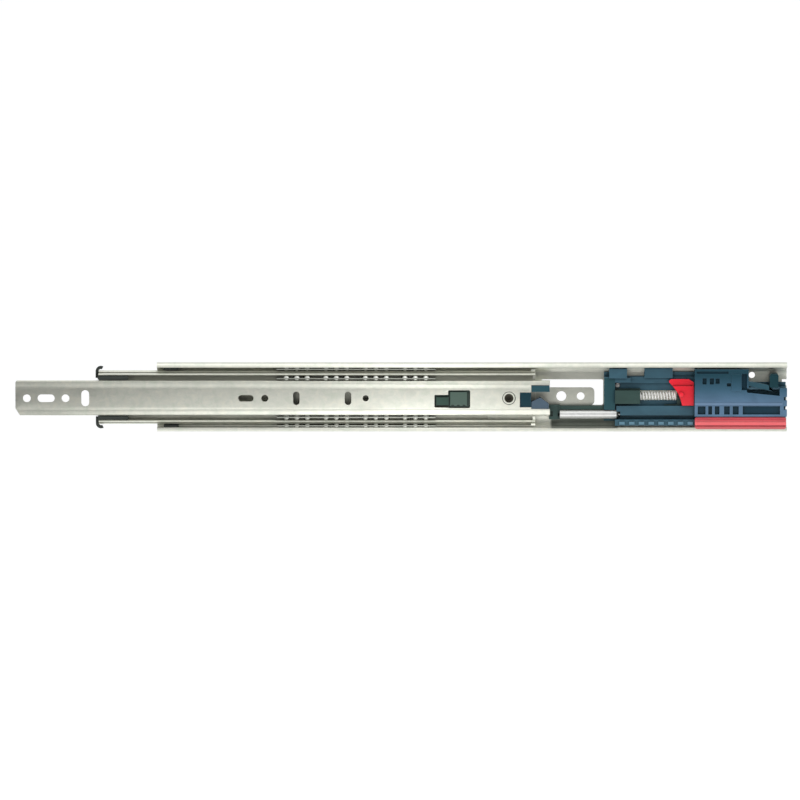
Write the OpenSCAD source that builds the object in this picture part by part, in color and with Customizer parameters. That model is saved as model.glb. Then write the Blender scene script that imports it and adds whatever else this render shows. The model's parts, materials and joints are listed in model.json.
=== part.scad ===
// Side-mount ball-bearing drawer slide, full extension, with a soft-close
// mechanism in the rear of the cabinet member.
// +X runs from the front of the cabinet to the back, +Z is up, and -Y points
// at the drawer. The origin is on the mounting face (Y = 0), at the front
// end of the cabinet member, on the centre line.

/* [Slide] */
// Length of the cabinet member
slide_l = 406.4; // [406.4:12.7:508]
// Height of the cabinet member, over its raceways
section_h = 45; // [45:0.5:47]
// Installed thickness, from mounting face to drawer face
slide_t = 12.7; // [12.7:0.1:13]
// How much shorter the middle member is than the cabinet member
mid_short = 124.9; // [120:0.1:126]
// How much shorter the drawer member is than the cabinet member
drawer_short = 62; // [62:0.1:66]

/* [Position at rest] */
// How far the middle member stands out of the cabinet member
mid_out = 37.5; // [0:0.5:60]
// How far the drawer member stands out of the cabinet member
drawer_out = 91; // [60:1:110]

/* [Steel strip] */
// Thickness of the cabinet member
cab_t = 1.2; // [1.1:0.05:1.2]
// Thickness of the middle member
mid_t = 1.1; // [1:0.05:1.1]
// Thickness of the drawer member
drw_t = 1.2; // [1.1:0.05:1.2]

/* [Ball bearings] */
// Diameter of each ball
ball_d = 5; // [4.8:0.1:5]
// Balls in each group
balls_per_group = 3; // [2:1:3]
// Groups of balls in each cage strip
ball_groups = 4; // [3:1:4]
// Distance between neighbouring balls in a group
ball_pitch = 6.75; // [6:0.25:6.75]
// Distance from one group to the next
group_pitch = 25.5; // [24:0.5:25.5]

/* [Soft-close mechanism] */
// Travel of the latch
latch_travel = 22; // [18:1:22]
// Turns of the closing spring
spring_turns = 20; // [12:1:22]
// Guide ribs on the front of the housing
rib_count = 8; // [6:1:9]

/* [Hidden] */
$fn = 48;

// groove radius, with the ball's running clearance
ball_r = ball_d / 2;
groove_r = ball_r + 0.05;
// hooks of the bumpers on the middle member: thickness and outer bend radius
hook_t = 2;
hook_r = 3.4;
// outer raceway: ball centre
out_z = section_h / 2 - cab_t - groove_r;
out_y = -5.4;
// inner raceway: ball centre
in_z = out_z - 2 * groove_r - mid_t;
in_y = -8.2;
// web planes
mid_web_y = -(cab_t + 0.35);
drawer_face_y = -slide_t;

// lengths and the front end of each member at rest
mid_l = slide_l - mid_short;
drawer_l = slide_l - drawer_short;
mid_x = -mid_out;
drawer_x = -drawer_out;
cage_l = group_pitch * (ball_groups - 1) + ball_pitch * (balls_per_group - 1) + 12.5;
// cages roll half as far as the member they carry
outer_cage_x = 96 - mid_out / 2;
inner_cage_x = 141.5 - (drawer_out + mid_out) / 2;

// the mechanism is measured from the rear end of the cabinet member
rear_x = slide_l;
hous_x = rear_x - 117.9;     // front wall of the housing
cover_x = rear_x - 59.7;     // front edge of the rear cover
brk_x = rear_x - 153.4;      // front of the damper bracket
spring_y = -4.45;
spring_z = 0.7;
spring_r = 2.9;
wire_r = 0.4;
rod_r = 0.7;
spring_x0 = hous_x + 7.9;
latch_x0 = hous_x + 47;      // where the spring meets the latch
damper_y = -4;
damper_z = -11.5;
damper_r = 2.75;
floor_y = -cab_t;
peg_x = hous_x + 49.7;
peg_z = 2;
rivets = [[hous_x + 8.8, 7.3], [rear_x - 35, -11.6]];

steel = [0.78, 0.79, 0.77];
bright = [0.9, 0.9, 0.9];
black = [0.12, 0.13, 0.12];
blue = [0.22, 0.31, 0.42];
red = [0.82, 0.2, 0.22];
pink = [0.72, 0.3, 0.36];
green = [0.2, 0.26, 0.24];

// ---- helpers ----

// A flat outline drawn as (Y, Z), run along X from x0 to x1
module along_x(x0, x1)
    translate([x0, 0, 0]) rotate([90, 0, 90]) linear_extrude(x1 - x0) children();

// An outline drawn as (X, Z), run along Y from y0 to y1 (y0 < y1)
module along_y(y0, y1)
    translate([0, y1, 0]) rotate([90, 0, 0]) linear_extrude(y1 - y0) children();

// A box given by its two corners
module block(a, b) translate(a) cube(b - a);

// Part of a ring, from angle a0 to a1
module ring_arc(c, r0, r1, a0, a1) {
    n = ceil((a1 - a0) / 30);
    step = (a1 - a0) / n;
    translate(c) intersection() {
        difference() {
            circle(r1);
            circle(r0);
        }
        polygon(concat([[0, 0]],
            [for (i = [0:n]) 1.3 * r1 * [cos(a0 + i * step), sin(a0 + i * step)]]));
    }
}

// A slot with round ends, centred, of overall length l and width w
module slot(l, w) {
    translate([-(l - w) / 2, -w / 2]) square([l - w, w]);
    for (s = [-1, 1]) translate([s * (l - w) / 2, 0]) circle(w / 2);
}

// A rectangle with rounded corners, given by its low corner and size
module round_rect(p, s, r) translate(p) {
    translate([r, 0]) square([s[0] - 2 * r, s[1]]);
    translate([0, r]) square([s[0], s[1] - 2 * r]);
    for (x = [r, s[0] - r], z = [r, s[1] - r]) translate([x, z]) circle(r);
}

// A cylinder along Y, from y0 to y1
module pin_y(x, z, r, y0, y1)
    translate([x, y1, z]) rotate([90, 0, 0]) cylinder(r = r, h = y1 - y0);

// A cylinder along X, from x0 to x1
module pin_x(y, z, r, x0, x1)
    translate([x0, y, z]) rotate([0, 90, 0]) cylinder(r = r, h = x1 - x0);

// Both halves of something drawn for the upper half
module both() {
    children();
    mirror([0, 0, 1]) children();
}

// Both halves of an outline drawn for the upper half
module both_2d() {
    children();
    mirror([0, 1]) children();
}

// Where the balls stand along a cage
function ball_x(i) = 6.25 + (i % balls_per_group) * ball_pitch
    + floor(i / balls_per_group) * group_pitch;
balls = balls_per_group * ball_groups;

// ---- rolled sections ----

module cabinet_section() both_2d() {
    translate([-cab_t, 0]) square([cab_t, out_z - 2.1]);
    polygon([[-cab_t, out_z - 2.5], [0, out_z - 2.1],
        [out_y + groove_r + cab_t, out_z + 0.05], [out_y + groove_r, out_z + 0.05]]);
    ring_arc([out_y, out_z], groove_r, groove_r + cab_t, 0, 168);
}

module middle_section() both_2d() {
    translate([mid_web_y - mid_t, 0]) square([mid_t, out_z - 2.85]);
    translate([mid_web_y - mid_t, out_z - 2.85]) circle(mid_t);
    ring_arc([out_y, out_z], groove_r, groove_r + mid_t, 215, 305);
    translate([in_y, in_z + groove_r]) square([out_y - in_y, mid_t]);
    ring_arc([in_y, in_z], groove_r, groove_r + mid_t, 90, 135);
}

// The drawer member's web stands a little proud of the flange strips beside
// it, and each strip leans back towards its raceway
module drawer_web_section() both_2d() {
    front = drawer_face_y;
    back = drawer_face_y + drw_t;
    polygon([[front, -1], [front, 7.1], [front + 0.75, 8.2], [front + 1.05, in_z - 2],
        [front + 1.8, in_z - 1.45], [front + 2.1, in_z - 1.85], [back + 0.65, 8.2],
        [back, 7.2], [back, -1]]);
}

module drawer_race_section() both_2d()
    ring_arc([in_y, in_z], groove_r, groove_r + drw_t, 206, 300);

// ---- cabinet member ----

module cabinet_member() color(steel) difference() {
    along_x(0, slide_l) cabinet_section();
    along_y(-3, 1) {
        for (x = [37, 165]) translate([x, 0]) circle(2.3);
        translate([54, 0]) slot(12, 4.6);
        translate([71, 0]) rotate(90) slot(11, 4.6);
        translate([133, 0]) rotate(90) slot(11, 4.6);
        translate([149, 0]) slot(12, 4.6);
        translate([rear_x - 145.4, 0]) circle(3.2);
        translate([rear_x - 132.9, 0]) circle(2.5);
        translate([rear_x - 22.4, out_z - 5]) circle(2);
        for (p = rivets) translate(p) circle(1.25);
        // cut-out round the tongue that carries the rear screw holes
        difference() {
            round_rect([rear_x - 158.4, -5.7], [40, 16.6], 1.2);
            round_rect([rear_x - 161, -5.9], [37, 11.6], 2.8);
        }
    }
    // square notches in the rear end
    for (z = [-9, 9]) block([slide_l - 3, -3, z - 2], [slide_l + 1, 1, z + 2]);
}

// Black bumpers in the front ends of the raceways
module cabinet_bumpers() color(black) both() difference() {
    pin_x(out_y, out_z, groove_r, 4.4, 14);
    block([3, out_y - 3, out_z - 3], [15, out_y + 3, out_z - 0.8]);
}

// ---- middle member ----

module middle_member() color(steel) {
    difference() {
        along_x(mid_x, mid_x + mid_l) middle_section();
        along_y(-4, 0) {
            for (d = [30, 62]) translate([mid_x + d, 0]) slot(14, 8);
            // the rear of the web is cut away over the damper
            translate([mid_x + mid_l - 30.6, -out_z + 3.95]) square([31, 10.25]);
        }
    }
    both() {
        // stops that close the rear ends of the inner raceways
        translate([mid_x + mid_l - 1.6, 0, 0])
            block([0, in_y - 1.5, in_z - 0.6], [1.6, in_y + 0.9, in_z + groove_r + 0.2]);
        // flared tail of each lip
        translate([mid_x + mid_l - 2.6, 0, 0])
            block([0, -7.9, out_z - 2.75], [2.6, -6, out_z - 0.55]);
    }
}

// Black bumpers in the front ends of the inner raceways, each with a hook
// that curls over the end of the outer raceway
module middle_bumpers() color(black) both() {
    difference() {
        pin_x(in_y, in_z, groove_r - 0.01, mid_x - 0.5, mid_x + 19);
        block([mid_x - 1, in_y - 3, in_z - 3], [mid_x + 20, in_y + 3, in_z - 0.75]);
    }
    along_y(-7, -5.2) {
        translate([mid_x - hook_t, in_z]) square([hook_t - 0.05, 4.4]);
        translate([mid_x - hook_t + hook_r, in_z + 4.3])
            ring_arc([0, 0], hook_r - hook_t + 0.05, hook_r, 62, 181);
    }
}

// ---- drawer member ----

module drawer_cuts() {
    translate([7.4, 0]) circle(2.5);
    translate([19.8, 0]) slot(11, 5);
    translate([32.3, 0]) circle(2.5);
    translate([45, 0]) rotate(90) slot(10.5, 5);
    translate([148.5, 0]) slot(9.9, 4.2);
    translate([160.7, 0]) circle(2.25);
    for (x = [181, 214.3]) translate([x, 0]) rotate(90) slot(8.7, 4.2);
    translate([225.7, 0]) circle(2);
    // opening over the release lever
    round_rect([drawer_l - 74.4, -6], [10, 8.2], 0.8);
    round_rect([drawer_l - 65.6, -6.4], [14.2, 11.6], 1);
    translate([drawer_l - 26.4, 0]) circle(4.3);
    // window and mouth for the catch
    translate([drawer_l - 19.4, -5.9]) square([8, 9.7]);
    translate([drawer_l - 12, -7]) square([13, 15.4]);
}

module drawer_member() color(steel) translate([drawer_x, 0, 0]) difference() {
    union() {
        along_x(0, drawer_l) drawer_web_section();
        along_x(0, drawer_l) drawer_race_section();
    }
    along_y(drawer_face_y - 1, drawer_face_y + drw_t + 1.2) drawer_cuts();
    // the lower front corner is cut off at a slant, the upper one is eased
    along_y(drawer_face_y - 1, 0) {
        polygon([[-1, -20], [3.2, -20], [3.2, -12], [0, -6.6], [-1, -6.6]]);
        polygon([[-1, 20], [1.2, 20], [1.2, 12], [0, 10.2], [-1, 10.2]]);
    }
}

// The plastic catch in the tail of the drawer member
module drawer_catch() color(blue) translate([drawer_x + drawer_l, 0, 0]) {
    // carrier plate behind the web
    along_y(-11.4, -10.7) difference() {
        round_rect([-33, -6.9], [20.9, 13.8], 1);
        translate([-26.4, 0]) circle(2.1);
    }
    along_y(-11.4, -8.2) {
        translate([-19.2, -5.7]) square([7.1, 9.3]);
        translate([-12.3, 4.1]) square([12.1, 4]);
        polygon([[-12.3, -6.8], [-12.3, -2.6], [-6.3, 0.3], [-0.8, -3.6], [-0.8, -6.8]]);
    }
    along_y(-12.5, -11.3) {
        translate([-19, -5.5]) square([6.8, 9]);
        translate([-11.8, 4.1]) square([11.6, 4]);
        polygon([[-11.8, -6.8], [-11.8, -2.4], [-6.3, 0.3], [-0.8, -3.6], [-0.8, -6.8]]);
    }
}

// Hollow rivet with a dished head
module catch_rivet() color(steel) translate([drawer_x + drawer_l - 26.4, 0, 0])
    difference() {
        union() {
            pin_y(0, 0, 3.9, -12.2, -11.4);
            pin_y(0, 0, 2, -11.8, -10.2);
            pin_y(0, 0, 3, -10.7, -10.45);
        }
        pin_y(0, 0, 2.9, -12.3, -11.9);
        pin_y(0, 0, 1.5, -12.3, -10.4);
    }

// The lever that frees the drawer member, behind the web
lever_x = drawer_x + drawer_l - 48;
module release_lever() color(green) translate([lever_x, 0, 0]) difference() {
    union() {
        along_y(-11.1, -9.3) {
            round_rect([-27, -5.2], [14, 7.4], 1);
            round_rect([-17.5, -6], [21, 11.6], 1.5);
        }
        // thumb pad standing in the opening
        along_y(-12.4, -11) {
            translate([-25.2, -4.4]) square([8, 5]);
            difference() {
                translate([-16.4, -5]) square([11, 9]);
                for (x = [-14.6, -11, -7.4]) translate([x, -5.4]) circle(1.2);
            }
        }
    }
    pin_y(0, 0, 1.55, -12, -8);
}

module lever_rivet() color(steel) translate([lever_x, 0, 0]) {
    pin_y(0, 0, 1.5, drawer_face_y + drw_t, -8.9);
    pin_y(0, 0, 2.4, -9, -8.3);
}

// ---- ball cages and balls ----

// A flat strip with a hole for each ball, for an upper raceway
module cage_strip(y0, y1, z0, z1, ball_y) difference() {
    block([0, y0, z0], [cage_l, y1, z1]);
    for (i = [0:balls - 1])
        translate([ball_x(i), ball_y, z0 - 1]) cylinder(r = ball_r + 0.04, h = z1 - z0 + 2);
}

module ball_row(y, z)
    for (i = [0:balls - 1]) translate([ball_x(i), y, z]) sphere(ball_r);

module outer_cage() translate([outer_cage_x, 0, 0])
    cage_strip(-9.1, -3.6, out_z - 0.75, out_z - 0.05, out_y);

module outer_cage_upper() color(steel) outer_cage();
module outer_cage_lower() color(steel) mirror([0, 0, 1]) outer_cage();
module outer_balls_upper() color(bright)
    translate([outer_cage_x, 0, 0]) ball_row(out_y, out_z);
module outer_balls_lower() color(bright)
    translate([outer_cage_x, 0, 0]) ball_row(out_y, -out_z);

// One U-shaped cage carries both rows of the inner raceways
module inner_cage() color(steel) translate([inner_cage_x, 0, 0]) {
    both() cage_strip(-11.4, -3.1, in_z - 0.4, in_z + 0.4, in_y);
    difference() {
        block([0, -3.7, -in_z], [cage_l, -3.1, in_z]);
        for (i = [0:2]) translate([cage_l / 2 + (i - 1) * 30, 0, 0])
            along_y(-4, -3) slot(18, 12);
    }
}
module inner_balls_upper() color(bright)
    translate([inner_cage_x, 0, 0]) ball_row(in_y, in_z);
module inner_balls_lower() color(bright)
    translate([inner_cage_x, 0, 0]) ball_row(in_y, -in_z);

// ---- housing of the soft-close mechanism ----

module housing_base() color(blue) difference() {
    union() {
        // floor, kept between the slopes of the cabinet member
        block([hous_x, floor_y - 0.9, -out_z + 2.8], [cover_x + 1.6, floor_y, out_z - 2.8]);
        // front wall and the rails above and below the window
        block([hous_x, -5.6, -8.4], [hous_x + 7, floor_y, 13]);
        block([hous_x, -3.8, 8.8], [cover_x + 1.6, floor_y, 13]);
        block([hous_x, -5.6, 9.4], [hous_x + 17.1, -3.7, 12.4]);
        block([hous_x + 8, -6, -11.9], [cover_x + 1.6, -5.2, -5.75]);
        block([hous_x + 8, -6, -7], [hous_x + 16, floor_y, -5.75]);
        // bulkhead that the rear cover closes on
        block([cover_x, -9.2, -12], [cover_x + 1.6, floor_y, -7.5]);
        block([cover_x, -9.2, 12], [cover_x + 1.6, floor_y, 15.9]);
        block([cover_x, -9.2, 13.4], [cover_x + 1.6, -3.4, out_z - 0.3]);
        // tabs that key the housing into the upper raceway
        block([hous_x + 3.2, -7.6, 12.3], [hous_x + 14.7, -3.4, out_z - 0.2]);
        block([hous_x + 26, -5.4, 12.3], [cover_x - 14, -3.4, out_z - 0.2]);
        // ribbed strip over the lower raceway
        block([hous_x + 7, -7.9, -out_z + 0.3], [cover_x + 1.6, -3.4, -14.5]);
        block([hous_x + 7, -4, -out_z + 2.9], [cover_x + 1.6, floor_y, -14.5]);
        for (i = [0:rib_count - 1]) translate([hous_x + 9.7 + i * 6.3, 0, 0])
            block([0, -9, -17.6], [3.6, -7.8, -15.7]);
    }
    // window over the spring and the latch, with a slot in the floor behind
    block([hous_x + 7, -9, -4.6], [cover_x - 0.4, floor_y - 0.9, 5.6]);
    block([hous_x + 7, -3, spring_z - 3.2], [cover_x - 11, 0, spring_z + 3.2]);
    // notch in the upper edge, down to the steel
    block([hous_x + 14.8, -3.6, 13.4], [hous_x + 25.8, 0, out_z]);
    // bore for the damper cylinder, and the channel of its rod
    pin_x(damper_y, damper_z, damper_r + 0.15, hous_x - 1, hous_x + 10.4);
    pin_y(rivets[0][0], rivets[0][1], 1.25, -7, 0);
}

// Floor, walls and webs that carry the rear cover, below the rear screw hole
module rear_frame() color(blue) difference() {
    union() {
        block([cover_x + 1.6, floor_y - 0.9, -out_z + 2.8], [rear_x - 0.6, floor_y, 9.4]);
        block([cover_x + 1.6, -4, -out_z + 2.9], [rear_x - 1, floor_y, -14.5]);
        block([cover_x + 1.6, -9.2, -out_z + 0.3], [rear_x - 1, -3.4, -out_z + 1.7]);
        for (z = [-7.2, 5.4])
            block([cover_x + 6, -9.2, z], [rear_x - 1, floor_y, z + 1.4]);
        for (x = [rear_x - 2.6, rear_x - 26, rear_x - 45])
            block([x, -9.2, -out_z + 0.3], [x + 1.6, -3.4, -7]);
        block([rear_x - 45, -9.2, -7.2], [rear_x - 43.4, floor_y, 6.8]);
        block([rear_x - 2.6, -9.2, -out_z + 3], [rear_x - 1, floor_y, 6.8]);
    }
    pin_y(rivets[1][0], rivets[1][1], 1.25, -7, 0);
}

// Post beside the rear screw hole, which the snap arm bears on
module end_post() color(blue) {
    block([rear_x - 11.4, -11.6, 6.8], [rear_x - 5.8, floor_y - 0.9, 14.6]);
    along_y(-11.2, floor_y - 0.9) polygon([[rear_x - 11.4, 14.5], [rear_x - 5.8, 14.5],
        [rear_x - 6.6, 15.4], [rear_x - 10.6, 15.4]]);
}

module housing_cover() color(blue) difference() {
    union() {
        block([cover_x, -12, -12], [rear_x - 0.2, -9.2, 6.4]);
        block([cover_x, -12, 6], [rear_x - 25, -9.2, out_z - 0.2]);
        // raised tab beside the snap arm
        block([rear_x - 36, -12.5, 4.4], [rear_x - 29.7, -10, 15.7]);
        // raised lower edge
        block([cover_x, -12.3, -4.8], [rear_x - 3, -10, -3]);
    }
    // groove under the upper edge
    block([cover_x + 1.2, -12.7, 15.9], [rear_x - 38, -11, 17.2]);
    // stepped notches
    for (n = [[5, 8.9, 3.9], [9.7, 8.9, 3.9], [13.4, 9.3, 3.4]])
        block([cover_x + n[0], -12.7, n[1]],
            [cover_x + n[0] + 2.6, -10.4, n[1] + n[2]]);
    block([cover_x + 20.7, -12.7, 7.6], [cover_x + 23.4, -10.4, 9.6]);
    block([rear_x - 29.4, -12.7, 5.2], [rear_x - 26, -10, 15.7]);
    // room under the snap arm
    along_y(-13, -9) polygon([[rear_x - 26, 6.5], [rear_x - 26, 3.6],
        [rear_x - 5, 1.4], [rear_x - 5, 6.5]]);
    // pockets along the lower edge
    for (p = [[2, 5], [8.8, 2.4], [13, 3], [19, 3.6], [24.6, 3.8], [31, 24]])
        block([cover_x + p[0], -12.7, -10.6], [cover_x + p[0] + p[1], -10.2, -5.3]);
    for (z = [-7.5, -1.5]) block([rear_x - 2.2, -12.7, z], [rear_x, -9, z + 2.2]);
}

// The springy arm that locks the cover
module snap_arm() color(blue) along_y(-11.8, -9.4) polygon([
    [rear_x - 25, 8], [rear_x - 25, 11], [rear_x - 12, 8.4], [rear_x - 11.7, 7.9],
    [rear_x - 11.7, 4.9], [rear_x - 12.4, 5.1]]);

// The long red sleeve along the lower edge, in front of the lip
module cassette_bar() color(pink) intersection() {
    along_y(-13, -9) round_rect([cover_x + 0.2, -20.2], [58.8, 7.9], 1.6);
    along_x(cover_x, rear_x) {
        translate([-11.4, -21]) square([1.9, 9]);
        // a bead along the middle, between two flatter ones
        translate([-11.2, -16.6]) circle(1.25);
        translate([-11.1, -13.4]) circle(0.9);
        translate([-11.1, -19]) circle(0.9);
    }
}

// Rivets that hold the housing's floor to the cabinet member
module housing_rivets() color(bright) for (p = rivets) {
    pin_y(p[0], p[1], 1.2, floor_y - 1, 0);
    pin_y(p[0], p[1], 1.45, floor_y - 1.4, floor_y - 0.9);
}

// ---- spring, damper and latch ----

module spring_seat() color(green) difference() {
    union() {
        block([hous_x + 7, -7.8, -4.2], [hous_x + 23.2, floor_y - 0.9, 4.4]);
        // ledge above the sleeve
        block([hous_x + 7, -3.6, 4.3], [hous_x + 23.2, floor_y - 0.9, 5.2]);
    }
    pin_x(spring_y, spring_z, spring_r + 0.15, hous_x + 7.5, hous_x + 26);
    pin_x(spring_y, spring_z, 1, hous_x + 6, hous_x + 8);
}

module spring_guide() color(bright) {
    pin_x(spring_y, spring_z, 0.95, hous_x + 7, hous_x + 24.8);
    pin_x(spring_y, spring_z, 1.8, hous_x + 7.5, hous_x + 7.9);
}

// Closing spring, swept round its coil
spring_steps = 12;
spring_sides = 6;
module closing_spring() color(bright) {
    n = spring_turns * spring_steps;
    l = latch_x0 - spring_x0 - 2 * wire_r - 0.5;
    pts = [for (i = [0:n], k = [0:spring_sides - 1])
        let (a = 360 * i / spring_steps, b = 360 * k / spring_sides,
            r = spring_r - wire_r + wire_r * cos(b))
        [spring_x0 + wire_r + 0.1 + l * i / n + wire_r * sin(b),
            spring_y + r * cos(a), spring_z + r * sin(a)]];
    last = n * spring_sides;
    polyhedron(points = pts, faces = concat(
        [[for (k = [0:spring_sides - 1]) k]],
        [[for (k = [spring_sides - 1:-1:0]) last + k]],
        [for (i = [0:n - 1], k = [0:spring_sides - 1])
            let (k2 = (k + 1) % spring_sides, p = i * spring_sides, q = p + spring_sides)
            [p + k, q + k, q + k2, p + k2]]), convexity = 10);
}

module damper_cylinder() color(bright) difference() {
    pin_x(damper_y, damper_z, damper_r, brk_x + 7, hous_x + 8);
    pin_x(damper_y, damper_z, damper_r - 0.7, hous_x - latch_travel - 2, hous_x + 9);
}

module damper_gland() color(black) difference() {
    union() {
        pin_x(damper_y, damper_z, damper_r - 0.75, hous_x + 5.3, hous_x + 8.2);
        pin_x(damper_y, damper_z, damper_r - 0.1, hous_x + 8, hous_x + 9.2);
    }
    pin_x(damper_y, damper_z, rod_r + 0.05, hous_x + 5, hous_x + 10);
}

module damper_bracket() color(green) {
    difference() {
        union() {
            block([brk_x, -5.9, -14.5], [brk_x + 5.5, floor_y, -5.2]);
            block([brk_x + 5.5, -5, -14.5], [brk_x + 7, floor_y, -5.2]);
            block([brk_x, -4.4, -8.3], [hous_x, floor_y, -5.9]);
        }
        pin_x(damper_y, damper_z, 1.3, brk_x + 5, brk_x + 7.1);
        pin_x(damper_y, damper_z, damper_r + 0.1, brk_x + 7, hous_x + 1);
        block([brk_x - 1, -7, -12.6], [brk_x + 2.4, -4.6, -9.2]);
    }
}

// Piston and rod of the damper; the rod ends in the carriage
module damper_rod() color(bright) {
    pin_x(damper_y, damper_z, rod_r, hous_x + 1, hous_x + 40);
    pin_x(damper_y, damper_z, damper_r - 0.85, hous_x + 1, hous_x + 5);
}

module latch_carriage() color(green) difference() {
    union() {
        block([latch_x0 + 0.2, -3.8, -6], [latch_x0 + 11.2, -2.5, 5.2]);
        // arm down to the damper rod
        block([hous_x + 39, -3.8, -12.4], [hous_x + 49, -2.5, -5]);
        block([hous_x + 39, -4.9, -12.4], [hous_x + 42, -2.5, -10.4]);
    }
    pin_x(damper_y, damper_z, rod_r, hous_x + 38, hous_x + 40);
    pin_y(peg_x, peg_z, 1.45, -5, -2);
}

// Outline of the latch up to height top; its front edge is a long hollow curve
module latch_outline(top) {
    hollow_r = 26;
    difference() {
        translate([latch_x0 - 5.1, -5.4]) square([15.9, top + 5.4]);
        translate([latch_x0 + 3.7 - hollow_r, -10]) circle(hollow_r);
        // slanted rear corner and eased tip
        polygon([[latch_x0 + 7, 12], [latch_x0 + 11, 12], [latch_x0 + 11, 9.4]]);
        polygon([[latch_x0 - 6, 12], [latch_x0 - 3.4, 12], [latch_x0 - 6, 9.8]]);
    }
}

// The red latch, thicker below, with the peg that the catch takes hold of
module latch() color(red) {
    along_y(-6, -4.2) latch_outline(11.6);
    along_y(-7.4, -5.9) latch_outline(7.2);
    pin_y(peg_x, peg_z, 1.4, -9.7, -2.6);
}

cabinet_member();
cabinet_bumpers();
housing_base();
rear_frame();
end_post();
housing_cover();
snap_arm();
cassette_bar();
housing_rivets();
spring_seat();
spring_guide();
closing_spring();
damper_cylinder();
damper_gland();
damper_bracket();
damper_rod();
latch_carriage();
latch();
outer_cage_upper();
outer_cage_lower();
outer_balls_upper();
outer_balls_lower();
middle_member();
middle_bumpers();
inner_cage();
inner_balls_upper();
inner_balls_lower();
drawer_member();
drawer_catch();
catch_rivet();
release_lever();
lever_rivet();
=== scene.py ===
import bpy
import bmesh
import json
import math
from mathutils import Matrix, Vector


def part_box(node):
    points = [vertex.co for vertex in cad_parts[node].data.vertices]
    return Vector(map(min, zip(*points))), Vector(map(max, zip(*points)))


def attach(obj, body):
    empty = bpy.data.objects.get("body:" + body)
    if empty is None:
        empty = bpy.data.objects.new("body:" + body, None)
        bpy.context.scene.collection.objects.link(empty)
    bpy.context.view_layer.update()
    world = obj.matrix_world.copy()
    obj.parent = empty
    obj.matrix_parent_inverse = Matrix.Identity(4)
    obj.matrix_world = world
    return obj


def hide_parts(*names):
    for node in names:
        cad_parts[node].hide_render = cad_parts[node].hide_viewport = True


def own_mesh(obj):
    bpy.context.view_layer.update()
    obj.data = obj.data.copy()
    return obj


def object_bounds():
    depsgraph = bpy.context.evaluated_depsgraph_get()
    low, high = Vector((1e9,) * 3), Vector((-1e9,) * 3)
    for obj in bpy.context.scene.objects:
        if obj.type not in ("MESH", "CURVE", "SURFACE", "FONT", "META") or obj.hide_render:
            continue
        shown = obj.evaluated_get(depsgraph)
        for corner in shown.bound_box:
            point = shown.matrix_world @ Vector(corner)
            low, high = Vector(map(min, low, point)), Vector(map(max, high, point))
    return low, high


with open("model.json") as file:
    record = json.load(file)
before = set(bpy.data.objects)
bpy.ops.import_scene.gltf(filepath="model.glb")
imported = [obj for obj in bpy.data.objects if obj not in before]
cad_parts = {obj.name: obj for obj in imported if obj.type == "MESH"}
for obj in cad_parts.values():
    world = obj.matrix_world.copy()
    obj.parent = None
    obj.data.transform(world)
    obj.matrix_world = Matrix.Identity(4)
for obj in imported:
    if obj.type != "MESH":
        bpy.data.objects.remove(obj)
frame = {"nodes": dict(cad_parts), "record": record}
cad_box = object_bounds()

# A drawer slide with a soft-close housing: a finish for every CAD piece, a coil
# spring, and a white studio. Lengths are in metres, or in millimetres where a
# comment or a name says so.

MM = 0.001
NODES = frame["nodes"]
SLOT = {s["node"]: s["material_slot"] for s in frame["record"]["subparts"]}
MAT = {}


# ------------------------------------------------------------- shader nodes

def new_material(name, shader="ShaderNodeBsdfPrincipled"):
    """A bare material, kept in MAT. Gives its node tree and its shader node."""
    m = bpy.data.materials.new(name)
    m.use_nodes = True
    nt = m.node_tree
    nt.nodes.clear()
    out = nt.nodes.new("ShaderNodeOutputMaterial")
    surface = nt.nodes.new(shader)
    nt.links.new(surface.outputs[0], out.inputs[0])
    MAT[name] = m
    return nt, surface


def scaled(tone, *factors):
    """The tone times one factor, or times a factor for each channel."""
    if len(factors) == 1:
        factors *= 3
    return tuple(min(1, c * f) for c, f in zip(tone, factors))


def coords(nt, scale=(1, 1, 1)):
    """Object coordinates in millimetres, stretched by scale."""
    tex = nt.nodes.new("ShaderNodeTexCoord")
    mapping = nt.nodes.new("ShaderNodeMapping")
    mapping.inputs["Scale"].default_value = [s / MM for s in scale]
    nt.links.new(tex.outputs["Object"], mapping.inputs["Vector"])
    return mapping.outputs["Vector"]


def noise(nt, vec, scale, detail=4, rough=0.55, distortion=0.0):
    """Cloudy noise about the middle of 0 to 1."""
    n = nt.nodes.new("ShaderNodeTexNoise")
    n.inputs["Scale"].default_value = scale
    n.inputs["Detail"].default_value = detail
    n.inputs["Roughness"].default_value = rough
    n.inputs["Distortion"].default_value = distortion
    nt.links.new(vec, n.inputs["Vector"])
    return n.outputs["Fac"]


def ramp(nt, fac, stops):
    """Colour ramp through stops, each one (position, tone)."""
    r = nt.nodes.new("ShaderNodeValToRGB")
    marks = r.color_ramp.elements
    while len(marks) < len(stops):
        marks.new(0.5)
    for mark, (position, tone) in zip(marks, stops):
        mark.position = position
        mark.color = (*tone, 1)
    nt.links.new(fac, r.inputs["Fac"])
    return r.outputs["Color"]


def grey_ramp(nt, fac, stops):
    """Ramp through grey stops, each one (position, value)."""
    return ramp(nt, fac, [(position, (v, v, v)) for position, v in stops])


def to_range(nt, fac, a, b, lo=0.3, hi=0.7):
    """A value that goes from a to b as fac goes from lo to hi."""
    r = nt.nodes.new("ShaderNodeMapRange")
    r.inputs["From Min"].default_value = lo
    r.inputs["From Max"].default_value = hi
    r.inputs["To Min"].default_value = a
    r.inputs["To Max"].default_value = b
    nt.links.new(fac, r.inputs["Value"])
    return r.outputs["Result"]


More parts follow.
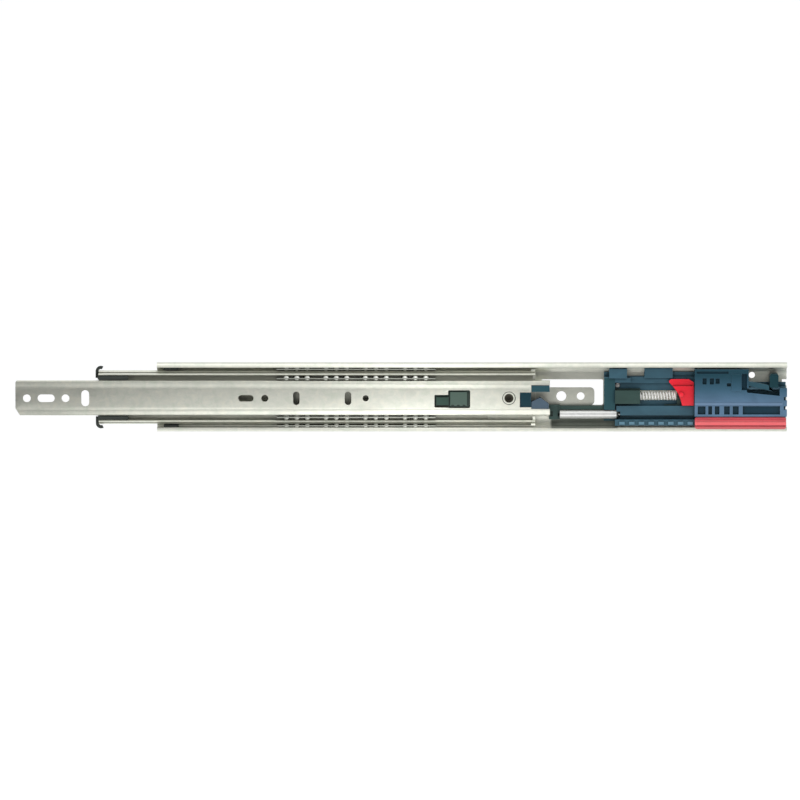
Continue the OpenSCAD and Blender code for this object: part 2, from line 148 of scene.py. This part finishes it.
def calc(nt, kind, a, b):
    """One step of arithmetic on socket a and b, which is a socket or a number."""
    n = nt.nodes.new("ShaderNodeMath")
    n.operation = kind
    nt.links.new(a, n.inputs[0])
    if isinstance(b, bpy.types.NodeSocket):
        nt.links.new(b, n.inputs[1])
    else:
        n.inputs[1].default_value = b
    return n.outputs[0]


def mix(nt, a, b, fac, kind="MIX"):
    """Colour a turning into b as fac rises. Each is a socket or a plain value."""
    m = nt.nodes.new("ShaderNodeMix")
    m.data_type = "RGBA"
    m.blend_type = kind
    for sock, v in ((m.inputs[0], fac), (m.inputs[6], a), (m.inputs[7], b)):
        if isinstance(v, bpy.types.NodeSocket):
            nt.links.new(v, sock)
        else:
            sock.default_value = (*v, 1) if isinstance(v, tuple) else v
    return m.outputs[2]


def bump(nt, bsdf, height, strength, distance, before=None):
    """Relief on the shader's normal, laid over the relief given as before."""
    b = nt.nodes.new("ShaderNodeBump")
    b.inputs["Strength"].default_value = strength
    b.inputs["Distance"].default_value = distance
    nt.links.new(height, b.inputs["Height"])
    if before is not None:
        nt.links.new(before, b.inputs["Normal"])
    nt.links.new(b.outputs["Normal"], bsdf.inputs["Normal"])
    return b.outputs["Normal"]


def edge_highlight(nt, width):
    """1 along edges, 0 on open faces: where a normal rounded over width (mm)
    leaves the true one."""
    soft = nt.nodes.new("ShaderNodeBevel")
    soft.samples = 4
    soft.inputs["Radius"].default_value = width * MM
    true = nt.nodes.new("ShaderNodeNewGeometry")
    dot = nt.nodes.new("ShaderNodeVectorMath")
    dot.operation = "DOT_PRODUCT"
    nt.links.new(soft.outputs["Normal"], dot.inputs[0])
    nt.links.new(true.outputs["Normal"], dot.inputs[1])
    return to_range(nt, dot.outputs["Value"], 1.0, 0.0, 0.72, 0.98)


def creases(nt, reach):
    """1 in the open, falling to 0 in corners and gaps narrower than reach (mm)."""
    ao = nt.nodes.new("ShaderNodeAmbientOcclusion")
    ao.samples = 8
    ao.inputs["Distance"].default_value = reach * MM
    return ao.outputs["AO"]


def window(nt, sock, lo, hi, soft):
    """1 between lo and hi, fading to 0 over soft on either side."""
    rise = to_range(nt, sock, 0.0, 1.0, lo - soft, lo)
    return calc(nt, "MULTIPLY", rise, to_range(nt, sock, 1.0, 0.0, hi, hi + soft))


def with_films(nt, vec, base, films):
    """Lay films of painted light and shade over the base colour. Each one is (tone,
    amount, limits ...), and each limit (axis, low, high, soft) in mm keeps it inside a
    range. Axis N is the Y of the face's normal, so that a film can stay on the forward faces."""
    place = nt.nodes.new("ShaderNodeSeparateXYZ")
    nt.links.new(vec, place.inputs[0])
    facing = nt.nodes.new("ShaderNodeSeparateXYZ")
    nt.links.new(nt.nodes.new("ShaderNodeNewGeometry").outputs["Normal"], facing.inputs[0])
    for tone, amount, *limits in films:
        for axis, low, high, soft in limits:
            sock = facing.outputs["Y"] if axis == "N" else place.outputs[axis]
            amount = calc(nt, "MULTIPLY", window(nt, sock, low, high, soft), amount)
        base = mix(nt, base, tone, amount)
    return base


# ------------------------------------------------------------------ finishes

# tone of the painted shade in corners and gaps of the rolled steel
CREASE_SHADE = (0.24, 0.235, 0.19)


def rolled_steel(name, tone, grain=1.0, rough=(0.30, 0.46), shade_amount=0.5, reach=4.0, films=()):
    """Zinc-plated strip: fine grain along its length, soft spangle, faint
    scratches, and painted shade in corners and gaps narrower than reach (mm)."""
    nt, bsdf = new_material(name)
    plain = coords(nt)
    fine = noise(nt, coords(nt, (0.05, 1.2, 1.2)), 3.0 * grain, 6, 0.7)
    spangle = noise(nt, plain, 0.22, 5, 0.62, 0.5)
    patches = noise(nt, coords(nt, (0.5, 1, 1)), 0.06, 4, 0.6)
    specks = noise(nt, plain, 2.2, 3, 0.7)
    scratch = noise(nt, coords(nt, (0.02, 1.0, 6.0)), 1.6, 3, 0.8)
    cool = scaled(tone, 0.92, 0.95, 0.92)
    warm = scaled(tone, 1.07, 1.055, 1.03)
    base = ramp(nt, spangle, [(0.36, cool), (0.5, tone), (0.64, warm)])
    base = mix(nt, base, scaled(tone, 0.76), to_range(nt, patches, 0.0, 0.6, 0.48, 0.72))
    base = mix(nt, base, scaled(tone, 0.66), to_range(nt, specks, 0.0, 0.5, 0.6, 0.8))
    # painted shade: corners and gaps narrower than reach turn darker, by ambient occlusion
    base = mix(nt, CREASE_SHADE, base, to_range(nt, creases(nt, reach), 1.0 - shade_amount, 1.0, 0.25, 0.85))
    base = with_films(nt, plain, base, films)
    nt.links.new(base, bsdf.inputs["Base Color"])
    bsdf.inputs["Metallic"].default_value = 0.82
    haze = to_range(nt, patches, -0.05, 0.10)
    streaks = to_range(nt, fine, *rough)
    nt.links.new(calc(nt, "ADD", streaks, haze), bsdf.inputs["Roughness"])
    relief = bump(nt, bsdf, fine, 0.20, 0.02 * MM)
    relief = bump(nt, bsdf, scratch, 0.12, 0.03 * MM, relief)
    bump(nt, bsdf, spangle, 0.30, 0.12 * MM, relief)


def polished(name, tone, rough, scratches=0.08, shade_amount=0.75, metal=1.0):
    """Drawn or ground steel: a thin film, fine scratches, and painted shade in gaps."""
    nt, bsdf = new_material(name)
    plain = coords(nt)
    film = noise(nt, plain, 0.5, 4, 0.6)
    fine = noise(nt, coords(nt, (0.3, 1.5, 1.5)), 4, 4, 0.7)
    base = ramp(nt, film, [(0.3, scaled(tone, 0.86)), (0.7, tone)])
    # painted shade: gaps turn dark by ambient occlusion
    gap_shade = to_range(nt, creases(nt, 2.5), 1.0 - shade_amount, 1.0, 0.2, 0.75)
    nt.links.new(mix(nt, scaled(tone, 0.25), base, gap_shade), bsdf.inputs["Base Color"])
    bsdf.inputs["Metallic"].default_value = metal
    nt.links.new(to_range(nt, film, *rough), bsdf.inputs["Roughness"])
    bump(nt, bsdf, fine, scratches, 0.01 * MM)


def moulded(name, tone, light, dark, rough=(0.30, 0.46), grain=0.18, coat=0.0, shine=0.2, films=()):
    """Injection-moulded plastic: fine texture, flow marks, scuffs and a painted edge
    highlight in the light tone, painted shade in the corners in the dark one."""
    nt, bsdf = new_material(name)
    plain = coords(nt)
    flow = noise(nt, coords(nt, (0.35, 1, 0.6)), 0.18, 3, 0.5, 0.6)
    skin = noise(nt, plain, 7.0, 3, 0.6)
    scuff = noise(nt, coords(nt, (0.08, 1.0, 3.0)), 1.2, 4, 0.7)
    base = ramp(nt, flow, [(0.3, scaled(tone, 0.86)), (0.7, scaled(tone, 1.12))])
    base = with_films(nt, plain, base, films)
    base = mix(nt, base, light, calc(nt, "MULTIPLY", to_range(nt, scuff, 0.0, 1.0, 0.62, 0.8), 0.25))
    # painted highlight along the edges, in the light tone
    base = mix(nt, base, light, calc(nt, "MULTIPLY", edge_highlight(nt, 0.35), 0.5))
    # painted shade: corners and recesses turn to the dark tone, by ambient occlusion
    base = mix(nt, dark, base, to_range(nt, creases(nt, 3.0), 0.0, 1.0, 0.3, 0.9))
    nt.links.new(base, bsdf.inputs["Base Color"])
    nt.links.new(to_range(nt, skin, *rough), bsdf.inputs["Roughness"])
    bsdf.inputs["Specular IOR Level"].default_value = shine
    bsdf.inputs["Coat Weight"].default_value = coat
    bsdf.inputs["Coat Roughness"].default_value = 0.12
    relief = bump(nt, bsdf, skin, grain, 0.03 * MM)
    bump(nt, bsdf, flow, 0.15, 0.15 * MM, relief)


# ----------------------------------------------------------------- materials

ZINC = (0.745, 0.755, 0.67)
SHADE = (0.42, 0.42, 0.37)
# tone of the painted shade in the lower race under the damper tube
UNDER_TUBE_SHADE = (0.030, 0.046, 0.034)
NAVY = (0.040, 0.109, 0.150)
# NAVY_LIGHT: scuffs and the painted edge highlight of the blue plastics; NAVY_DARK: their painted shade in
# corners
NAVY_LIGHT = (0.13, 0.24, 0.32)
NAVY_DARK = (0.001, 0.029, 0.045)

# limits of the films: open ends in mm, and the faces that don't look backward
NO_MIN, NO_MAX = -1e4, 1e4
FORWARD = ("N", NO_MIN, 0.05, 0.2)


def box_mm(node):
    """Low and high corner of a node's box, in mm."""
    return [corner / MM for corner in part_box(node)]


def member_steels():
    """The rolled strips, with painted shade under the tube, on the tongue, in the raceways and in the
    rivet's bore.
    """
    member_top = box_mm("cabinet_member")[1].z
    middle_top = box_mm("middle_member")[1].z
    bracket = box_mm("damper_bracket")[0].x
    housing = box_mm("housing_base")[0].x
    cover = box_mm("housing_cover")[0].x
    tube = box_mm("damper_cylinder")[0].z
    rivet = box_mm("catch_rivet")[0].y
    # painted shade in the lower race under the damper tube
    under_tube_shade = (UNDER_TUBE_SHADE, 0.85, ("X", bracket + 2, housing + 8, 1.5), ("Z", tube - 5.2, tube - 0.2, 0.8),
                  FORWARD)
    # painted shade on the upper race, the tongue, and the middle member's race and lip
    upper_race = (SHADE, 0.55, ("X", bracket - 8, cover, 1.0), ("Z", member_top - 11, member_top - 5.5, 0.6),
                  FORWARD)
    tongue = (SHADE, 0.5, ("X", bracket - 8, housing, 1.0), ("Z", member_top - 30.5, member_top - 13.5, 0.6),
              FORWARD)
    middle_race = (SHADE, 0.9, ("Z", middle_top - 7.4, middle_top - 4.2, 0.4), FORWARD)
    middle_lip = (SHADE, 0.3, ("Z", middle_top - 3.7, middle_top - 1.8, 0.3), FORWARD)
    bore_shade = ((0.036, 0.034, 0.025), 1.0, ("Y", rivet + 0.2, 0, 0.1))      # painted shade in the rivet's bore, all behind the rim
    rolled_steel("zinc_steel", ZINC)
    rolled_steel("cabinet_steel", ZINC, shade_amount=0.12, films=(under_tube_shade, upper_race, tongue))
    # painted shade reaching 12 mm, dark on the middle member's web behind the drawer member
    rolled_steel("middle_steel", ZINC, shade_amount=0.6, reach=12.0, films=(middle_race, middle_lip))
    rolled_steel("rivet_steel", ZINC, films=(bore_shade,))
    rolled_steel("cage_steel", (0.34, 0.35, 0.31), grain=1.4, rough=(0.4, 0.6))


def bright_steels():
    """Balls, rivets and rods, the coil spring, and the damper's tube."""
    polished("ball_steel", (0.66, 0.67, 0.63), rough=(0.10, 0.2), scratches=0.03)
    polished("bright_steel", (0.76, 0.76, 0.74), rough=(0.16, 0.3))
    polished("spring_steel", (1.0, 0.99, 0.95), rough=(0.24, 0.36), scratches=0.04, shade_amount=0.0, metal=0.25)
    polished("chrome_tube", (0.86, 0.865, 0.845), rough=(0.30, 0.40), scratches=0.02, shade_amount=0.0, metal=0.6)


def blue_plastics():
    """The housing's base, cover, arm and post, and the catch on the drawer. Painted
    light makes the foremost faces paler; painted shade darkens the front wall, deep parts, the arm and the
    post."""
    base_low, base_high = box_mm("housing_base")
    cover_low, cover_high = box_mm("housing_cover")
    catch_high = box_mm("drawer_catch")[1]
    moulded("blue_plastic", NAVY, NAVY_LIGHT, NAVY_DARK, films=(
        # painted light on the foremost faces
        ((0.115, 0.235, 0.31), 1.0, ("Y", NO_MIN, base_low.y + 0.3, 0.6)),
        # painted shade on the front wall
        ((0.018, 0.075, 0.090), 1.0, ("X", NO_MIN, base_low.x + 6.9, 0.3),
         ("Z", NO_MIN, base_high.z - 6.35, 0.2))))
    moulded("cover_plastic", (0.095, 0.180, 0.285), (0.20, 0.28, 0.41), NAVY_DARK, films=(
        # painted shade, darker towards the top of the cover
        ((0.036, 0.108, 0.168), 1.0, ("Z", cover_high.z - 12.55, NO_MAX, 8.5)),
        ((0.010, 0.058, 0.085), 1.0, ("Z", cover_high.z - 4.05, NO_MAX, 8.5)),
        # painted highlight along the raised lower edge
        ((0.190, 0.290, 0.440), 0.5, ("Z", cover_low.z + 7.0, cover_low.z + 9.1, 0.3),
         ("Y", NO_MIN, cover_low.y + 0.4, 0.1)),
        # painted shade on the deeper faces
        ((0.003, 0.040, 0.070), 1.0, ("Y", cover_low.y + 1.7, NO_MAX, 0.7))))
    moulded("catch_plastic", (0.070, 0.112, 0.155), (0.24, 0.30, 0.42), NAVY_DARK, films=(
        # painted shade, darker towards the catch's top and at its rear end
        ((0.020, 0.080, 0.100), 1.0, ("Z", catch_high.z - 6.1, NO_MAX, 1.0)),
        ((0.001, 0.036, 0.052), 1.0, ("X", NO_MIN, catch_high.x - 12, 0.6))))
    # darker copies of the navy plastic: painted shade on the arm and the post
    moulded("arm_plastic", (0.024, 0.082, 0.112), NAVY_LIGHT, NAVY_DARK)
    moulded("post_plastic", (0.006, 0.045, 0.058), NAVY, NAVY_DARK)


def dark_plastics():
    """Black bumpers, the damper's green parts, and the lever, with painted light on its pad end."""
    lever = box_mm("release_lever")[0].x
    # painted light on the lever's pad end
    pad_light = ((0.080, 0.128, 0.102), 1.0, ("X", lever + 11.5, NO_MAX, 2.0))
    moulded("black_plastic", (0.040, 0.047, 0.041), (0.08, 0.09, 0.08), (0.003, 0.005, 0.004))
    moulded("green_plastic", (0.034, 0.070, 0.061), (0.10, 0.15, 0.13), (0.004, 0.014, 0.011))
    moulded("lever_plastic", (0.032, 0.072, 0.052), (0.10, 0.15, 0.12), (0.003, 0.010, 0.008),
            films=(pad_light,))


def red_plastics():
    """The latch, and the paler sleeve with painted shade along its top, a painted
    highlight stripe on its bead and painted shade along its lower edge."""
    bar_low, bar_high = box_mm("cassette_bar")
    moulded("red_plastic", (0.95, 0.018, 0.038), (1.0, 0.10, 0.12), (0.22, 0.004, 0.010),
            rough=(0.2, 0.32), grain=0.08, coat=0.4)
    moulded("pink_plastic", (0.80, 0.060, 0.080), (1.0, 0.22, 0.24), (0.16, 0.010, 0.020),
            rough=(0.24, 0.36), grain=0.08, coat=0.4, shine=0.5, films=(
                # painted shade along the top, a painted highlight stripe, painted shade along the lower edge
                ((0.42, 0.030, 0.050), 0.6, ("Z", bar_high.z - 1.5, NO_MAX, 0.5)),
                ((1.00, 0.180, 0.190), 0.6, ("Z", bar_low.z + 2.9, bar_low.z + 4.9, 0.6)),
                ((0.52, 0.120, 0.120), 0.6, ("Z", NO_MIN, bar_low.z + 1.5, 0.6))))


member_steels()
bright_steels()
blue_plastics()
dark_plastics()
red_plastics()


# ------------------------------------------------------------- CAD dressing

# pieces whose finish differs from the rest of their material slot, most of them by painted light and shade
OWN_FINISH = {"cabinet_member": "cabinet_steel", "middle_member": "middle_steel",
              "catch_rivet": "rivet_steel", "housing_cover": "cover_plastic",
              "snap_arm": "arm_plastic", "end_post": "post_plastic",
              "drawer_catch": "catch_plastic", "release_lever": "lever_plastic"}

# width of the eased edges, mm
EDGE_WIDTH = {"cabinet_member": 0.22, "middle_member": 0.2, "drawer_member": 0.25,
              "housing_base": 0.25, "housing_cover": 0.25, "cassette_bar": 0.35,
              "latch": 0.35, "drawer_catch": 0.3, "snap_arm": 0.3, "closing_spring": 0,
              "outer_balls_upper": 0, "outer_balls_lower": 0,
              "inner_balls_upper": 0, "inner_balls_lower": 0,
              "outer_cage_upper": 0.08, "outer_cage_lower": 0.08, "inner_cage": 0.08}
USUAL_WIDTH = 0.15
HARD_EDGE = math.radians(35)


def dress(name):
    """The node's finish, with every hard edge eased by a small bevel."""
    o = NODES[name]
    o.data.materials.clear()
    o.data.materials.append(MAT[OWN_FINISH.get(name, SLOT[name])])
    for p in o.data.polygons:
        p.use_smooth = True
    weld = o.modifiers.new("weld", "WELD")
    weld.merge_threshold = 1e-6
    width = EDGE_WIDTH.get(name, USUAL_WIDTH)
    if width:
        bevel = o.modifiers.new("bevel", "BEVEL")
        bevel.width = width * MM
        bevel.segments = 2
        bevel.limit_method = "ANGLE"
        bevel.angle_limit = HARD_EDGE
    normals = o.modifiers.new("sharp", "WEIGHTED_NORMAL")
    normals.keep_sharp = True


for node_name in NODES:
    dress(node_name)


# --------------------------------------------------------------- own pieces

def add_piece(name, bm, material, body):
    """A smooth piece made here, which rides on a body."""
    me = bpy.data.meshes.new(name)
    bmesh.ops.recalc_face_normals(bm, faces=bm.faces)
    bm.to_mesh(me)
    bm.free()
    for p in me.polygons:
        p.use_smooth = True
    o = bpy.data.objects.new(name, me)
    bpy.context.scene.collection.objects.link(o)
    me.materials.append(MAT[material])
    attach(o, body)
    return o


def coil_spring():
    """Wire spring with closed ends."""
    low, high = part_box("closing_spring")
    cy, cz = (low.y + high.y) / 2, (low.z + high.z) / 2
    turns = 21
    steps = 28                              # rings of the wire in each turn
    sides = 12                              # sides of the wire's section
    wire = 0.40 * MM                        # radius of the wire
    radius = (high.z - low.z) / 2 - wire
    start, length = low.x + wire, high.x - low.x - 2 * wire
    closed_pitch = 2 * wire * 1.04          # of the first and last turn
    open_pitch = (length - 2 * closed_pitch) / (turns - 2)

    def along(turn):
        if turn < 1:
            return closed_pitch * turn
        if turn > turns - 1:
            return length - closed_pitch * (turns - turn)
        return closed_pitch + open_pitch * (turn - 1)

    bm = bmesh.new()
    rings = []
    for i in range(turns * steps + 1):
        turn = i / steps
        a = 2 * math.pi * turn
        ring = []
        for k in range(sides):
            b = 2 * math.pi * k / sides
            r = radius + wire * math.cos(b)
            x = start + along(turn) + wire * math.sin(b)
            ring.append(bm.verts.new((x, cy + r * math.cos(a), cz + r * math.sin(a))))
        rings.append(ring)
    for p, q in zip(rings, rings[1:]):
        for k in range(sides):
            j = (k + 1) % sides
            bm.faces.new((p[k], p[j], q[j], q[k]))
    bm.faces.new(rings[0])
    bm.faces.new(rings[-1])
    o = add_piece("coil_spring", bm, "spring_steel", "cabinet")
    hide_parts("closing_spring")
    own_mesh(o)


coil_spring()


# ------------------------------------------------------------ stage & light

centre = (cad_box[0] + cad_box[1]) / 2


def front_camera():
    """A long lens in front of the slide and a little above it."""
    elevation = math.radians(7)
    picture_width = 0.5154                  # at the target
    data = bpy.data.cameras.new("camera")
    data.lens = 300
    data.sensor_width = 36
    data.clip_start = 0.01
    data.clip_end = 20
    o = bpy.data.objects.new("camera", data)
    bpy.context.scene.collection.objects.link(o)
    bpy.context.scene.camera = o
    target = Vector((centre.x - 0.9 * MM, cad_box[0].y, -1.1 * MM))
    back = Vector((0, -math.cos(elevation), math.sin(elevation)))
    o.location = target + back * (picture_width * data.lens / data.sensor_width)
    o.rotation_mode = "QUATERNION"
    o.rotation_quaternion = (-back).to_track_quat("-Z", "Y")


def sheet(name, corners, material):
    """One flat face that belongs to the studio."""
    me = bpy.data.meshes.new(name)
    me.from_pydata(corners, [], [(0, 1, 2, 3)])
    me.materials.append(MAT[material])
    o = bpy.data.objects.new(name, me)
    bpy.context.scene.collection.objects.link(o)
    return o


def paper_floor():
    """A wide sheet of white paper under the slide, pale from every side."""
    nt, bsdf = new_material("floor_paper")
    grain = noise(nt, coords(nt), 0.4, 4, 0.6)
    nt.links.new(grey_ramp(nt, grain, [(0.3, 0.93), (0.7, 0.97)]), bsdf.inputs["Base Color"])
    bsdf.inputs["Roughness"].default_value = 0.9
    bsdf.inputs["Emission Color"].default_value = (1, 1, 1, 1)
    bsdf.inputs["Emission Strength"].default_value = 0.22
    half, z = 30.0, -0.30
    corners = [(-half, -half, z), (half, -half, z), (half, half, z), (-half, half, z)]
    sheet("floor", corners, "floor_paper")


def reflector():
    """A card in front of the slide, seen only in reflections. Along the slide it
    is dim at the left and brightest right of the middle; upward it has a bright
    band, a dark one at the centre line, and a middling one."""
    nt, glow = new_material("reflector", "ShaderNodeEmission")
    place = nt.nodes.new("ShaderNodeSeparateXYZ")
    tex = nt.nodes.new("ShaderNodeTexCoord")
    nt.links.new(tex.outputs["Object"], place.inputs[0])
    along = to_range(nt, place.outputs["X"], 0.0, 1.0, -0.10, 0.50)
    sides = grey_ramp(nt, along, [(0.0, 0.21), (0.10, 0.38), (0.22, 0.55), (0.325, 0.66), (0.445, 1.04),
                                  (0.52, 1.02), (0.60, 0.52), (0.70, 0.50), (1.0, 0.50)])
    up = to_range(nt, place.outputs["Z"], 0.0, 1.0, -0.06, 0.06)
    height = grey_ramp(nt, up, [(0.0, 0.42), (0.08, 0.95), (0.16, 1.8), (0.38, 0.84), (0.42, 0.60),
                                (0.48, 0.04), (0.60, 0.04), (0.67, 0.78), (1.0, 0.85)])
    nt.links.new(mix(nt, sides, height, 1.0, "MULTIPLY"), glow.inputs["Color"])
    glow.inputs["Strength"].default_value = 2.0
    half, y, low, high = 0.75, -0.062, -0.20, 0.12
    corners = [(-half, y, low), (half, y, low), (half, y, high), (-half, y, high)]
    o = sheet("reflector", corners, "reflector")
    for kind in ("camera", "diffuse", "transmission", "volume_scatter", "shadow"):
        setattr(o, "visible_" + kind, False)


def studio_world():
    """Even, nearly white light from all round."""
    world = bpy.data.worlds.new("studio")
    world.use_nodes = True
    background = world.node_tree.nodes["Background"]
    background.inputs["Color"].default_value = (0.98, 0.99, 1.0, 1)
    background.inputs["Strength"].default_value = 0.84
    bpy.context.scene.world = world


def top_light():
    """A faint wide light above the slide and a little in front of it."""
    data = bpy.data.lights.new("top_light", "AREA")
    data.shape = "RECTANGLE"
    data.size = 1.4
    data.size_y = 0.8
    data.energy = 3.0
    o = bpy.data.objects.new("top_light", data)
    place = Vector((0.16, -0.25, 1.1))
    towards = Vector((place.x, 0, 0)) - place
    o.location = place
    o.rotation_mode = "QUATERNION"
    o.rotation_quaternion = towards.to_track_quat("-Z", "Y")
    o.visible_camera = False
    bpy.context.scene.collection.objects.link(o)


front_camera()
paper_floor()
studio_world()
reflector()
top_light()
bpy.context.scene.view_settings.view_transform = "Standard"
